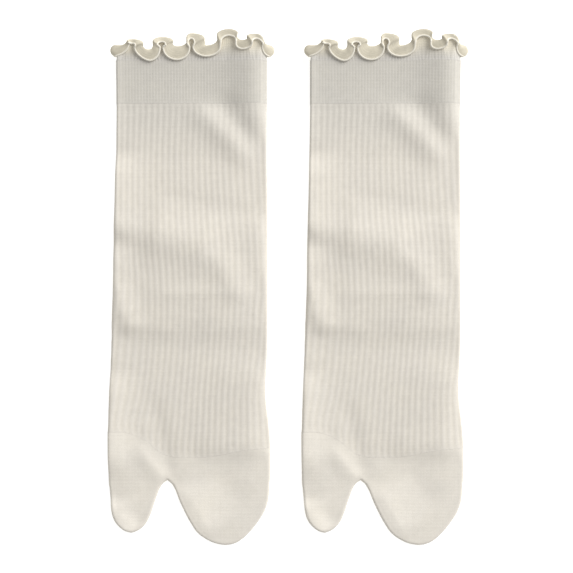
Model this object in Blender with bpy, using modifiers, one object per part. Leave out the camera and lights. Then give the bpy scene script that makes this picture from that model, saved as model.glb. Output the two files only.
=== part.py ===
"""A pair of knitted tabi socks that lie flat, front up, side by side.

Each sock is one knitted tube: a frilled edge, a fine-ribbed cuff, a ribbed leg and instep, a plain heel pouch
folded flat beneath, and a plain toe that parts into a pocket for the big toe and one for the others.
X runs across, +Y from toe to cuff and +Z up from the surface that the socks rest on.
The lengths here are in millimetres. "down" is the distance from the top of the cuff towards the toe, and
"across" the distance to the right of a sock's own middle line.
"""

import math
from collections import namedtuple

import bmesh
import bpy

MM = 0.001
MERGE = 1e-6

# The pair
SOCK_PITCH = 115.6  # from middle line to middle line
PAIR_SHIFT = 1.15  # both socks reach further to the left than to the right
CUFF_TOP = 134.5  # the top of the cuffs, from the middle of the pair's length
SEAM_GAP = 0.3  # between neighbouring pieces

# The cloth and how the flat tube lies
WALL = 1.0
FOLD_RADIUS = 1.55  # outside, so that the tube is twice this high at its side folds
CROWN = 1.0  # the front stands this much higher away from the folds
CROWN_REACH = 12.0
RIDGE = 1.3  # a soft roll across the ankle, just above the heel pouch
RIDGE_DOWN = 107.0
RIDGE_LEG_REACH = 45.0
RIDGE_FOOT_REACH = 13.0
MOUTH_LIFT = 2.6  # the frill's folded lobes hold the mouth off the surface
MOUTH_LIFT_REACH = 50.0
CUFF_DEPTH = 25.2

# The plain heel pouch, two layers of cloth folded flat
HEEL_HEIGHT = 2.6
HEEL_GAP = 0.4  # to the cloth above
HEEL_TOP, HEEL_TIP = 108.0, 153.0
HEEL_MIDDLE = -0.8
HEEL_EDGE = 8.0  # from the sides of the tube to where the cloth above is fully lifted
HEEL_RAMP = 8.0  # the same above the pouch and past its tip
Row = namedtuple("Row", "down half")
HEEL_SIDES = (
    Row(HEEL_TOP, 30.0),
    Row(109.6, 34.2),
    Row(113.0, 36.0),
    Row(124.0, 34.5),
    Row(136.0, 31.5),
    Row(145.0, 28.0),
    Row(150.0, 22.5),
    Row(HEEL_TIP, 13.0),
)
Level = namedtuple("Level", "height inset")
HEEL_LEVELS = (
    Level(0.0, 0.6),
    Level(0.5, 0.0),
    Level(1.0, 0.0),
    Level(1.3, 0.45),
    Level(1.6, 0.0),
    Level(2.1, 0.0),
    Level(HEEL_HEIGHT, 0.6),
)

Side = namedtuple("Side", "down left right")
SIDES = (
    Side(0.0, -45.0, 45.3),
    Side(CUFF_DEPTH, -45.0, 45.2),
    Side(53.0, -45.4, 45.2),
    Side(83.0, -46.0, 45.3),
    Side(107.0, -46.6, 45.3),
    Side(137.0, -47.0, 45.3),
    Side(154.0, -47.7, 45.3),
    Side(173.0, -48.2, 45.2),
    Side(193.0, -49.0, 44.3),
    Side(203.0, -49.4, 44.4),
    Side(215.0, -49.8, 45.9),
    Side(227.0, -50.1, 47.0),
    Side(239.0, -50.1, 47.2),
    Side(250.5, -49.8, 46.9),
)
LEG_ROWS = (
    CUFF_DEPTH + SEAM_GAP,
    50.0,
    75.0,
    HEEL_TOP - HEEL_RAMP,
    RIDGE_DOWN,
    113.0,
    RIDGE_DOWN + RIDGE_FOOT_REACH,
    HEEL_TIP,
    HEEL_TIP + HEEL_RAMP,
    185.0,
    205.0,
    219.0,
    231.0,
)

# The line where the ribs end and the plain toe begins
Point = namedtuple("Point", "across down")
RIB_END = (
    Point(-50.5, 221.4),
    Point(-38.6, 222.0),
    Point(-27.7, 226.8),
    Point(-18.7, 234.0),
    Point(-0.7, 237.0),
    Point(14.3, 235.8),
    Point(29.3, 232.8),
    Point(47.5, 231.0),
)
RIB_END_DOWN = 231.0
RIB_END_REACH = 41.0  # the rows above bend into the line over this length

# The toe, which parts at the crotch
CROTCH = Point(-14.7, 250.5)
FOREFOOT_ROWS = (239.5, 247.0, 250.05, CROTCH.down)
BIG_TOE = (
    Side(251.4, -49.8, -16.2),
    Side(255.6, -49.3, -19.2),
    Side(261.0, -48.8, -21.2),
    Side(271.5, -47.4, -24.8),
    Side(275.5, -45.6, -26.8),
    Side(278.5, -42.9, -29.2),
    Side(280.5, -40.2, -32.0),
    Side(281.6, -37.4, -34.8),
)
BIG_TOE_TIP = Point(-36.1, 281.9)
OTHER_TOES = (
    Side(251.4, -13.2, 46.8),
    Side(255.6, -10.2, 46.6),
    Side(262.8, -7.2, 45.8),
    Side(270.0, -3.8, 43.2),
    Side(276.0, -0.5, 39.3),
    Side(281.5, 3.3, 34.8),
    Side(285.5, 8.1, 30.6),
    Side(288.0, 13.0, 26.6),
    Side(289.1, 17.2, 22.8),
)
OTHER_TOES_TIP = Point(20.0, 289.4)

# Columns of a panel: a few near each fold, and the rest evenly between
FOLD_COLUMNS = (0.0, 0.6, FOLD_RADIUS)
FOLD_COLUMN_SHARES = (0.0, 0.2, 0.5)  # of half the width, where a pocket is narrower than its folds
BIG_TOE_SPANS, OTHER_TOES_SPANS = 3, 5

# The frill, a strip that stands on the mouth and folds out in lobes and back in peaks
FRILL_WALL = 1.0
FRILL_ROWS = 5
FRILL_STEPS = 3  # columns from a lobe to the next peak
FRILL_GAP = 0.45  # to the cuff, where the strip leans a little
FRILL_TURN = 11.0  # the strip turns sideways this near to the side folds
LOBE_BREADTH = 1.7  # above 1, lobes are broader than peaks
FRILL_SPREAD = 1.2  # lobes and peaks widen this much to each side towards the free edge
LOBE_OUT, LOBE_LAND = 7.0, 5.4  # how far a front lobe's roll is pulled out, and where its edge lands
UNDER_OUT, UNDER_LAND = 2.2, 2.2  # the same beneath, where the lobes are pressed flat
PEAK_BACK, PEAK_LAND = 1.5, 2.6  # how far a front peak leans back, and its edge
LOBE_PULL, PEAK_RISE, PEAK_PULL = 1.33, 0.35, 0.75  # how high the curve is pulled, in heights of the flute
Flute = namedtuple("Flute", "across top edge lobe")
FRONT_FLUTES = (
    Flute(-33.0, 12.0, 12.1, 0.0),
    Flute(-25.9, 6.6, 0.9, 1.0),
    Flute(-17.5, 13.8, 13.9, 0.0),
    Flute(-7.9, 8.4, 1.2, 1.0),
    Flute(2.3, 16.2, 16.3, 0.0),
    Flute(10.1, 8.4, 1.8, 1.0),
    Flute(22.0, 18.6, 18.7, 0.0),
    Flute(29.9, 10.6, 6.2, 0.7),
    Flute(39.0, 15.4, 15.8, 0.0),
)
SIDE_FLUTE_TOP, SIDE_FLUTE_EDGE = 9.0, 7.0
UNDER_FLUTES = (
    Flute(36.0, 10.2, 8.8, 0.0),
    Flute(27.5, 7.4, 6.6, 1.0),
    Flute(18.5, 11.4, 10.0, 0.0),
    Flute(8.8, 6.8, 6.0, 1.0),
    Flute(0.4, 10.6, 9.2, 0.0),
    Flute(-9.6, 7.6, 6.8, 1.0),
    Flute(-19.0, 9.4, 8.2, 0.0),
    Flute(-27.2, 6.2, 5.4, 1.0),
    Flute(-35.5, 8.0, 6.8, 0.0),
)


def smooth(share):
    """0 to 1 with level ends, as share goes from 0 to 1."""
    share = min(max(share, 0.0), 1.0)
    return share * share * (3.0 - 2.0 * share)


def between(table, key, value, field):
    """The field of a table at a place between its rows."""
    rows = list(table)
    for row, following in zip(rows, rows[1:]):
        start, end = getattr(row, key), getattr(following, key)
        if value <= end or following is rows[-1]:
            share = min(max((value - start) / (end - start), 0.0), 1.0)
            return getattr(row, field) * (1.0 - share) + getattr(following, field) * share


def side_at(down):
    return Side(down, between(SIDES, "down", down, "left"), between(SIDES, "down", down, "right"))


def toe_outline():
    """Down the left side, round the big toe to the crotch, round the other toes and up the right side."""
    points = [Point(side.left, side.down) for side in SIDES]
    points += [Point(side.left, side.down) for side in BIG_TOE] + [BIG_TOE_TIP]
    points += [Point(side.right, side.down) for side in reversed(BIG_TOE)] + [CROTCH]
    points += [Point(side.left, side.down) for side in OTHER_TOES] + [OTHER_TOES_TIP]
    points += [Point(side.right, side.down) for side in reversed(OTHER_TOES)]
    return points + [Point(side.right, side.down) for side in reversed(SIDES)]


OUTLINE = toe_outline()


def edge_distance(across, down):
    """How far a point of the flat sock lies inside its outline."""
    nearest = math.inf
    for a, b in zip(OUTLINE, OUTLINE[1:]):
        run, rise = b.across - a.across, b.down - a.down
        share = ((across - a.across) * run + (down - a.down) * rise) / (run * run + rise * rise)
        share = min(max(share, 0.0), 1.0)
        nearest = min(nearest, math.hypot(across - a.across - share * run, down - a.down - share * rise))
    return nearest


def back_height(across, down):
    """How high the back of the tube lies: on the surface, or over the heel pouch, or held up at the mouth."""
    over_heel = smooth((down - HEEL_TOP + HEEL_RAMP) / HEEL_RAMP)
    over_heel *= smooth((HEEL_TIP + HEEL_RAMP - down) / HEEL_RAMP)
    inside = smooth((edge_distance(across, down) - FOLD_RADIUS) / (HEEL_EDGE - FOLD_RADIUS))
    mouth = max(1.0 - down / MOUTH_LIFT_REACH, 0.0) ** 2
    return (HEEL_HEIGHT + HEEL_GAP) * over_heel * inside + MOUTH_LIFT * mouth


def swell(across, down):
    """How much higher the front stands than the two layers pressed together."""
    reach = RIDGE_LEG_REACH if down < RIDGE_DOWN else RIDGE_FOOT_REACH
    ridge = 1.0 - smooth(abs(down - RIDGE_DOWN) / reach)
    return (CROWN + RIDGE * ridge) * smooth((edge_distance(across, down) - FOLD_RADIUS) / CROWN_REACH)


def half_height(distance):
    """Half the height of the closed tube at a distance inside its outline: a quarter circle, then level."""
    level = 1.0 - min(distance / FOLD_RADIUS, 1.0)
    return FOLD_RADIUS * math.sqrt(1.0 - level * level)


def columns(left, right, spans):
    half = (right - left) / 2
    near = [min(column, half * share) for column, share in zip(FOLD_COLUMNS, FOLD_COLUMN_SHARES)]
    inner = right - left - 2 * near[-1]
    middle = [left + near[-1] + inner * step / spans for step in range(1, spans)]
    return [left + step for step in near] + middle + [right - step for step in reversed(near)]


def ring(places):
    """Once round the tube: over the front through (across, down) places, left to right, and back beneath."""
    front, back = [], []
    for across, down in places:
        half = half_height(edge_distance(across, down))
        middle = back_height(across, down) + FOLD_RADIUS
        front.append((across, -down, middle + half + swell(across, down)))
        back.append((across, -down, middle - half))
    return front + back[-2:0:-1]


def loft(mesh, rings):
    """Faces between closed rings of equally many points."""
    rows = [[mesh.verts.new([part * MM for part in point]) for point in points] for points in rings]
    for row, following in zip(rows, rows[1:]):
        for i, corner in enumerate(row):
            mesh.faces.new((row[i - 1], corner, following[i], following[i - 1]))
    return rows


def finished(name, mesh):
    """The mesh with its doubled points joined and its faces pointing out."""
    bmesh.ops.remove_doubles(mesh, verts=mesh.verts, dist=MERGE)
    bmesh.ops.recalc_face_normals(mesh, faces=mesh.faces)
    data = bpy.data.meshes.new(name)
    mesh.to_mesh(data)
    mesh.free()
    data.shade_smooth()
    return data


def toe_columns(down):
    """Columns of the two pockets, side by side, and of the forefoot above them."""
    side = side_at(down)
    big_toe = columns(side.left, CROTCH.across, BIG_TOE_SPANS)
    return big_toe, columns(CROTCH.across, side.right, OTHER_TOES_SPANS)


def rib_end_line():
    """The line where the ribs end, from column to column."""
    big_toe, other_toes = toe_columns(RIB_END_DOWN)
    folds = len(FOLD_COLUMNS)
    line = big_toe[:1] + big_toe[folds:-folds] + [CROTCH.across] + other_toes[folds:-folds] + other_toes[-1:]
    return [Point(across, between(RIB_END, "across", across, "down")) for across in line]


RIB_END_LINE = rib_end_line()


def leg_places(down):
    """Places across the leg, on the toe's columns. The last rows bend into the line where the ribs end."""
    big_toe, other_toes = toe_columns(down)
    folds = len(FOLD_COLUMNS)
    across_heel = [big_toe[0] + HEEL_EDGE, CROTCH.across, other_toes[-1] - HEEL_EDGE]
    places = sorted(big_toe[:-folds] + across_heel + other_toes[folds:])
    share = smooth((down - RIB_END_DOWN + RIB_END_REACH) / RIB_END_REACH)
    return [
        Point(across, down + share * (between(RIB_END_LINE, "across", across, "down") - RIB_END_DOWN))
        for across in places
    ]


def cuff_mesh():
    mesh = bmesh.new()
    loft(mesh, [ring(leg_places(down)) for down in (0.0, CUFF_DEPTH / 2, CUFF_DEPTH)])
    return finished("cuff", mesh)


def leg_mesh():
    mesh = bmesh.new()
    loft(mesh, [ring(leg_places(down)) for down in LEG_ROWS])
    return finished("leg", mesh)


def pocket_rings(sides, end, spans):
    """Down one pocket from the crotch to its closed end."""
    rings = []
    for side in sides:
        rings.append(ring([(across, side.down) for across in columns(side.left, side.right, spans)]))
    return rings + [[(end.across, -end.down, FOLD_RADIUS)] * len(rings[-1])]


def toe_mesh():
    """The forefoot down to the crotch, and from there each pocket."""
    mesh = bmesh.new()
    crotch_side = side_at(CROTCH.down)
    rows = []
    for down in (RIB_END_DOWN,) + FOREFOOT_ROWS:
        big_toe, other_toes = toe_columns(down)
        rows.append([Point(across, down) for across in big_toe + other_toes[1:]])
    rows[0] = [Point(x, between(RIB_END_LINE, "across", x, "down") + SEAM_GAP) for x, _ in rows[0]]
    loft(mesh, [ring(row) for row in rows])
    start = Side(CROTCH.down, crotch_side.left, CROTCH.across)
    loft(mesh, pocket_rings((start,) + BIG_TOE, BIG_TOE_TIP, BIG_TOE_SPANS))
    start = Side(CROTCH.down, CROTCH.across, crotch_side.right)
    loft(mesh, pocket_rings((start,) + OTHER_TOES, OTHER_TOES_TIP, OTHER_TOES_SPANS))
    return finished("toe", mesh)


def moved_in(outline, distance):
    """A closed anticlockwise outline, moved inwards."""
    moved = []
    for i, (across, along) in enumerate(outline):
        before, after = outline[i - 1], outline[(i + 1) % len(outline)]
        run, rise = after[0] - before[0], after[1] - before[1]
        length = math.hypot(run, rise)
        moved.append((across - distance * rise / length, along + distance * run / length))
    return moved


def heel_mesh():
    """Two layers of cloth in one solid, which part by a groove round the edge."""
    left = [(HEEL_MIDDLE - row.half, -row.down) for row in HEEL_SIDES]
    right = [(HEEL_MIDDLE + row.half, -row.down) for row in reversed(HEEL_SIDES)]
    mesh = bmesh.new()
    rings = [
        [(across, along, level.height) for across, along in moved_in(left + right, level.inset)]
        for level in HEEL_LEVELS
    ]
    rows = loft(mesh, rings)
    for row in (rows[0], rows[-1]):
        mesh.faces.new(row)
    return finished("heel", mesh)


def frill_foot(across, face):
    """Where the strip stands, in the middle of the cuff's wall: face is 1 on the front and -1 beneath."""
    side = SIDES[0]
    from_fold = min(across - side.left, side.right - across) - WALL / 2
    centre = FOLD_RADIUS - WALL / 2
    level = 1.0 - min(max(from_fold, 0.0) / centre, 1.0)
    height = centre * math.sqrt(1.0 - level * level)
    middle = back_height(across, 0.0) + FOLD_RADIUS
    return middle + face * height + (swell(across, 0.0) if face > 0 else 0.0)


def frill_out(across, face):
    """The direction, across and up, in which the lobes roll."""
    side = SIDES[0]
    from_fold = min(across - side.left, side.right - across) - WALL / 2
    turn = math.pi / 2 * (1.0 - smooth(from_fold / FRILL_TURN))
    return math.copysign(math.sin(turn), across), face * math.cos(turn)


def frill_strip(across, face, flute, shift):
    """The strip from the mouth to its free edge: one curve with four pulls, up, over and out."""
    out, land = (LOBE_OUT, LOBE_LAND) if face > 0 else (UNDER_OUT, UNDER_LAND)
    back, back_land = (PEAK_BACK, PEAK_LAND) if face > 0 else (0.0, 0.0)
    peak = (1.0 - flute.lobe) ** LOBE_BREADTH
    lobe = 1.0 - peak
    pulls = (
        (0.0, 0.0, 0.0),
        (0.0, flute.top * (LOBE_PULL * lobe + PEAK_RISE * peak), 0.0),
        (shift, flute.top * (LOBE_PULL * lobe + PEAK_PULL * peak), out * lobe - back * peak),
        (shift, flute.edge, land * lobe - back_land * peak),
    )
    sideways, upwards = frill_out(across, face)
    foot = frill_foot(across, face)
    points = []
    for row in range(FRILL_ROWS + 1):
        t = row / FRILL_ROWS
        weights = ((1 - t) ** 3, 3 * t * (1 - t) ** 2, 3 * t * t * (1 - t), t**3)
        aside, along, outward = (sum(w * pull[axis] for w, pull in zip(weights, pulls)) for axis in range(3))
        points.append((across + aside + outward * sideways, along + FRILL_GAP, foot + outward * upwards))
    return points


def frill_mesh():
    """Round the mouth from flute to flute: the left fold, the front, the right fold and beneath."""
    left = Flute(SIDES[0].left + WALL / 2, SIDE_FLUTE_TOP, SIDE_FLUTE_EDGE, 1.0)
    right = left._replace(across=SIDES[0].right - WALL / 2)
    faces = ((1.0, (left,) + FRONT_FLUTES + (right,)), (-1.0, (right,) + UNDER_FLUTES + (left,)))
    strips = []
    for face, flutes in faces:
        for flute, following in zip(flutes, flutes[1:]):
            for step in range(FRILL_STEPS):
                share = step / FRILL_STEPS
                way = following.across - flute.across
                blend = Flute(*(a + smooth(share) * (b - a) for a, b in zip(flute, following)))
                spread = math.sin(2 * math.pi * share) * math.copysign(FRILL_SPREAD, way)
                strips.append(frill_strip(flute.across + share * way, face, blend, spread))
    mesh = bmesh.new()
    loft(mesh, list(zip(*strips)))
    return finished("frill", mesh)


def knit(name, colour, roughness):
    material = bpy.data.materials.new(name)
    material.use_nodes = True
    shader = material.node_tree.nodes["Principled BSDF"]
    shader.inputs["Base Color"].default_value = (*colour, 1.0)
    shader.inputs["Roughness"].default_value = roughness
    shader.inputs["Metallic"].default_value = 0.0
    return material


def add_wall(thing, thickness, offset):
    wall = thing.modifiers.new("Cloth wall", "SOLIDIFY")
    wall.thickness = thickness * MM
    wall.offset = offset
    wall.use_rim = True


def build():
    for thing in list(bpy.data.objects):
        bpy.data.objects.remove(thing, do_unlink=True)
    collection = bpy.data.collections.new("Tabi socks")
    bpy.context.scene.collection.children.link(collection)
    pieces = (
        ("frill", frill_mesh(), knit("Frill knit", (0.60, 0.56, 0.47), 0.85), FRILL_WALL, 0.0),
        ("cuff", cuff_mesh(), knit("Fine rib knit", (0.58, 0.56, 0.51), 0.85), WALL, -1.0),
        ("leg", leg_mesh(), knit("Wide rib knit", (0.67, 0.63, 0.55), 0.9), WALL, -1.0),
        ("heel", heel_mesh(), knit("Heel knit", (0.68, 0.65, 0.57), 0.9), None, None),
        ("toe", toe_mesh(), knit("Toe knit", (0.70, 0.67, 0.59), 0.9), WALL, -1.0),
    )
    for side, place in (("left", -1), ("right", 1)):
        sock = bpy.data.objects.new(side + "_sock", None)
        sock.location = ((place * SOCK_PITCH / 2 + PAIR_SHIFT) * MM, CUFF_TOP * MM, 0.0)
        collection.objects.link(sock)
        for name, data, material, thickness, offset in pieces:
            thing = bpy.data.objects.new(side + "_" + name, data)
            thing.parent = sock
            collection.objects.link(thing)
            if not data.materials:
                data.materials.append(material)
            if thickness:
                add_wall(thing, thickness, offset)


build()
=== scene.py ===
"""A pair of knitted tabi socks that lie flat, front up, side by side.

X runs across, +Y from toe to cuff and +Z up from the surface that the socks rest on. Lengths are in
millimetres, but the lamp's and the floor's are in metres. "down" is the distance from the top of the cuff
towards the toe, and "across" the distance to the right of a sock's own middle line.
"""

import math
from collections import namedtuple

import bmesh
import bpy
import numpy as np
from mathutils import Matrix, Vector


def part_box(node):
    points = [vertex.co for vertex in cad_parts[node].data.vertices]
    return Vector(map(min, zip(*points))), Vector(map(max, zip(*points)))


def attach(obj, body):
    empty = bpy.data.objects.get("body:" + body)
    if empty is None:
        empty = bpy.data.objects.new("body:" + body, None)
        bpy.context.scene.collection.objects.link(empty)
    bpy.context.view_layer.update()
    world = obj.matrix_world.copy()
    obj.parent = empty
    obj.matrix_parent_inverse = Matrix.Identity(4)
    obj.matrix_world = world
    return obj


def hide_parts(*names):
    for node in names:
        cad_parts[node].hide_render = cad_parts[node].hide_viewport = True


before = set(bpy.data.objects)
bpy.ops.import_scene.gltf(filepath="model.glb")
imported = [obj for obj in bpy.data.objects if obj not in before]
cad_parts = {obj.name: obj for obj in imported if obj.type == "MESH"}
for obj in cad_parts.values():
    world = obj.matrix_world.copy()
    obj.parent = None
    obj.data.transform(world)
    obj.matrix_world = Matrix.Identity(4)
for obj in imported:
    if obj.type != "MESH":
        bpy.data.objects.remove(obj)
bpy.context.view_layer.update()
bpy.ops.object.select_all(action="DESELECT")

# ----------------------------------------
# Camera. It looks straight down at the middle of the pair, and takes in the view's width at the floor.

MM = 0.001
LENS, SENSOR = 85.0, 36.0
VIEW_WIDTH = 343.8
CLIP_START, CLIP_END = 10.0, 20000.0

bpy.ops.object.camera_add(location=(0, 0, VIEW_WIDTH * LENS / SENSOR * MM), rotation=(0, 0, 0))
camera = bpy.context.object
camera.data.lens = LENS
camera.data.sensor_width = SENSOR
camera.data.clip_start, camera.data.clip_end = CLIP_START * MM, CLIP_END * MM
bpy.context.scene.camera = camera

# ----------------------------------------
# Light. A white room all round, and a large soft lamp to the upper right, whose slanting light shows up the
# ribs and the creases.

ROOM_STRENGTH = 0.54
LAMP_PLACE = (2.97, 2.68, 2.31)
LAMP_SIZE = 2.8
LAMP_POWER = 244.0

world = bpy.data.worlds.new("White room")
world.use_nodes = True
background = world.node_tree.nodes["Background"]
background.inputs["Color"].default_value = (1.0, 1.0, 1.0, 1.0)
background.inputs["Strength"].default_value = ROOM_STRENGTH
bpy.context.scene.world = world
bpy.context.scene.view_settings.view_transform = "Standard"

bpy.ops.object.light_add(type="AREA", location=LAMP_PLACE)
lamp = bpy.context.object
lamp.data.size = LAMP_SIZE
lamp.data.energy = LAMP_POWER
lamp.rotation_mode = "QUATERNION"
lamp.rotation_quaternion = Vector(LAMP_PLACE).to_track_quat("Z", "Y")

# ----------------------------------------
# Floor. A white sheet of paper. It glows a little, so that hardly any shadow shows on it.

FLOOR_WIDTH = 40.0
FLOOR_DROP = 0.02 * MM  # so that it is never in the plane of a sock's underside
FLOOR_GLOW = 0.5
PAPER_GRAIN = 900.0
PAPER_COLOURS = (0.93, 0.93, 0.93, 1.0), (0.97, 0.97, 0.97, 1.0)


class Socket:
    """One output of a material's nodes. Arithmetic on it adds the nodes that work it out."""

    def __init__(self, tree, socket):
        self.tree = tree
        self.socket = socket

    def node(self, kind, settings=None, inputs=None, output=0):
        """Any other node of the material, from its type, its settings and its inputs' values or links."""
        made = self.tree.nodes.new(kind)
        for name, value in (settings or {}).items():
            setattr(made, name, value)
        for name, value in (inputs or {}).items():
            if isinstance(value, Socket):
                self.tree.links.new(value.socket, made.inputs[name])
            else:
                made.inputs[name].default_value = value
        return Socket(self.tree, made.outputs[output])

    def math(self, operation, *others):
        """A Math node that works on this value, and on any others that it needs."""
        return self.node("ShaderNodeMath", {"operation": operation}, dict(enumerate((self, *others))))

    def __add__(self, other):
        return self.math("ADD", other)

    __radd__ = __add__

    def __mul__(self, other):
        return self.math("MULTIPLY", other)

    __rmul__ = __mul__

    def __sub__(self, other):
        return self.math("SUBTRACT", other)

    def __rsub__(self, other):
        return self.node("ShaderNodeMath", {"operation": "SUBTRACT"}, {0: other, 1: self})

    def mix(self, low, high):
        """The colour between two others, by this value."""
        return self.node("ShaderNodeMix", {"data_type": "RGBA"}, {0: self, 6: low, 7: high}, 2)

    def times(self, value):
        """This colour, made darker or lighter by a value."""
        grey = value.node("ShaderNodeCombineXYZ", inputs={0: value, 1: value, 2: value})
        return self.node("ShaderNodeVectorMath", {"operation": "MULTIPLY"}, {0: self, 1: grey})


def new_material(name, **constants):
    """A material, its shader node and a socket to start from."""
    material = bpy.data.materials.new(name)
    material.use_nodes = True
    shader = material.node_tree.nodes["Principled BSDF"]
    for socket, value in constants.items():
        shader.inputs[socket.replace("_", " ")].default_value = value
    place = material.node_tree.nodes.new("ShaderNodeTexCoord").outputs["Object"]
    return material, shader, Socket(material.node_tree, place)


def link(source, shader, name):
    """Feeds the shader's socket of that name."""
    source.tree.links.new(source.socket, shader.inputs[name])


def noise(place, scale, detail=2.0, **others):
    """Soft random patches, 0 to 1."""
    inputs = {"Vector": place, "Scale": scale, "Detail": detail, **others}
    return place.node("ShaderNodeTexNoise", inputs=inputs)


bpy.ops.mesh.primitive_plane_add(size=FLOOR_WIDTH, location=(0, 0, 0))
floor = bpy.context.object
floor.name = "floor"
floor.data.transform(Matrix.Translation((0, 0, -FLOOR_DROP)))
paper, paper_shader, paper_place = new_material(
    "White paper", Roughness=0.9, Specular_IOR_Level=0.1, Emission_Strength=FLOOR_GLOW
)
link(noise(paper_place, PAPER_GRAIN).mix(*PAPER_COLOURS), paper_shader, "Base Color")
paper_shader.inputs["Emission Color"].default_value = (1, 1, 1, 1)
floor.data.materials.append(paper)

# ----------------------------------------
# Leg and instep, one knitted tube in wide ribs of soft cotton, from the cuff to the toes. It lies flat,
# folded down both sides, with the creases that it was pressed with, and its sole past the heel is plain.

SOCKS = ("left", "right")
CUFF_LEAN = 0.15  # the cuff's middle, to the right of the sock's middle line
WALL = 1.0
JOIN = 0.05  # between two stretches of the knitting
MERGE = 0.003  # points closer than this are sewn together
FOLD_RADIUS = 1.55  # of the side folds
CROWN, CROWN_REACH = 0.2, 12.0  # the front stands this much higher, this far in from the folds
RISE, RISE_REACH = 1.35, 30.0  # and this much more over the heel
RISE_START, RISE_TOP, RISE_FALL, RISE_FOOT = 50.0, 106.0, 138.0, 176.0
MOUTH_LIFT, MOUTH_LIFT_REACH = 2.6, 50.0
HEEL_HEIGHT, HEEL_GAP, HEEL_TOP, HEEL_TIP = 2.0, 0.3, 108.0, 153.0
HEEL_EDGE, HEEL_RAMP = 8.0, 8.0  # over which the back rises to the top of the pouch
FOLD_LIFT, FOLD_RAMP = 1.1, 20.0  # of the side folds beside the heel pouch
SQUEEZE = 0.8  # how far a trough may press the front below its flat height
CREASE_START = 4.0  # how far in from the folds the creases have their full height
CREASE_FADE = 0.18  # of a crease's length, inside and past each end
SOLE_FADE = 3.0  # from the heel's tip to the plain sole
CUFF_DEPTH = 25.2

Side = namedtuple("Side", "down left right")
SIDES = (
    Side(0, -45, 45.3), Side(25.2, -45, 45.2), Side(53, -45.4, 45.2),
    Side(83, -46, 45.3), Side(107, -46.6, 45.3), Side(137, -47, 45.3),
    Side(154, -47.7, 45.3), Side(173, -48.2, 45.2), Side(193, -49, 44.3),
    Side(203, -49.4, 44.4), Side(215, -49.8, 45.9), Side(227, -50.1, 47),
    Side(239, -50.1, 47.2), Side(250.5, -49.8, 46.9),
)

# Where the ribs run: the seventh to the left of the middle one, the middle one and the seventh to the right,
# and how many ribs from the middle one the side folds are.
Ribs = namedtuple("Ribs", "down seventh_left middle seventh_right fold_left fold_right")
RIBS = (
    Ribs(28.8, -29.7, -4.6, 20.6, -11.5, 13.75),
    Ribs(57.6, -30.7, -5.7, 19.6, -11.6, 13.5),
    Ribs(86.4, -30.7, -4.9, 21, -11.75, 13.15),
    Ribs(115.2, -29.8, -3.1, 23.3, -11.9, 12.85),
    Ribs(129.6, -28.5, -2.4, 23.6, -11.9, 12.75),
    Ribs(151.2, -28.1, -2.4, 22.8, -11.7, 13.1),
    Ribs(172.8, -29.3, -3.6, 21.3, -11.4, 13.4),
    Ribs(201.6, -32.6, -6.1, 19, -11, 13.9),
    Ribs(223.2, -35.9, -8.4, 18.3, -10.7, 14.3),
)
RIB_COUNT = 50
RIB_STEPS = 6
RIB_DEPTH = 0.17
FIRST_RIB = -12.5
WALES_PER_RIB = 4
COURSE = 0.85
ROW_STEP = 1.7
INNER_ROWS = 24
RIM_ANGLE = math.radians(60.0)

Point = namedtuple("Point", "across down")
RIB_END = (
    Point(-50.5, 221.4), Point(-38.6, 222), Point(-27.7, 226.8), Point(-18.7, 234),
    Point(-0.7, 237), Point(14.3, 235.8), Point(29.3, 232.8), Point(47.5, 231),
)
RIB_END_DOWN, RIB_END_REACH = 231.0, 41.0

# A crease runs from its start to its end. Its height is above 0 for a ridge and below 0 for a trough, and its
# sides fall away over two widths: to the left and to the right of someone who walks from start to end.
Crease = namedtuple("Crease", "start end height left_width right_width")
FRONT_CREASES = (
    # the ridge and trough below the cuff
    Crease((3, 29), (33, 58), 1.6, 6.5, 8),
    Crease((17, 23), (36, 44), -1.1, 8, 6),
    Crease((-8, 20), (2, 52), 0.5, 9, 18),
    # the rounded right side
    Crease((33, -8), (34, 46), 0.9, 8, 19),
    Crease((37, -8), (38, 42), 2, 7, 12),
    Crease((39, 92), (40, 128), 0.8, 5, 7),
    Crease((36, 182), (33, 236), 1.3, 8, 22),
    # the bend over the heel
    Crease((-50, 99), (-28, 104), 0.5, 12, 7),
    Crease((-26, 103), (12, 113), 1.9, 14, 13),
    Crease((13, 115), (30, 141), 1.2, 10, 8),
    Crease((-46, 135), (-35, 162), 1, 8, 6),
    Crease((-20, 79), (42, 93), -0.35, 5, 8),
    Crease((-24, 138), (30, 139), 0.35, 4, 4),
    Crease((-46, 157), (-10, 161), 0.3, 4, 4),
    Crease((6, 162), (44, 158), 0.2, 4, 4),
    # the foot
    Crease((-23, 205), (-13, 246), -0.6, 5, 6),
    Crease((6, 233), (46, 231), 0.8, 12, 5),
    Crease((-32, 232), (-17, 250), 0.7, 4, 6),
    Crease((-47, 262), (-30, 276), -0.6, 6, 5),
    Crease((-2, 256), (12, 281), 0.9, 9, 5),
    Crease((14, 246), (30, 266), -0.7, 9, 8),
)
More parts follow.
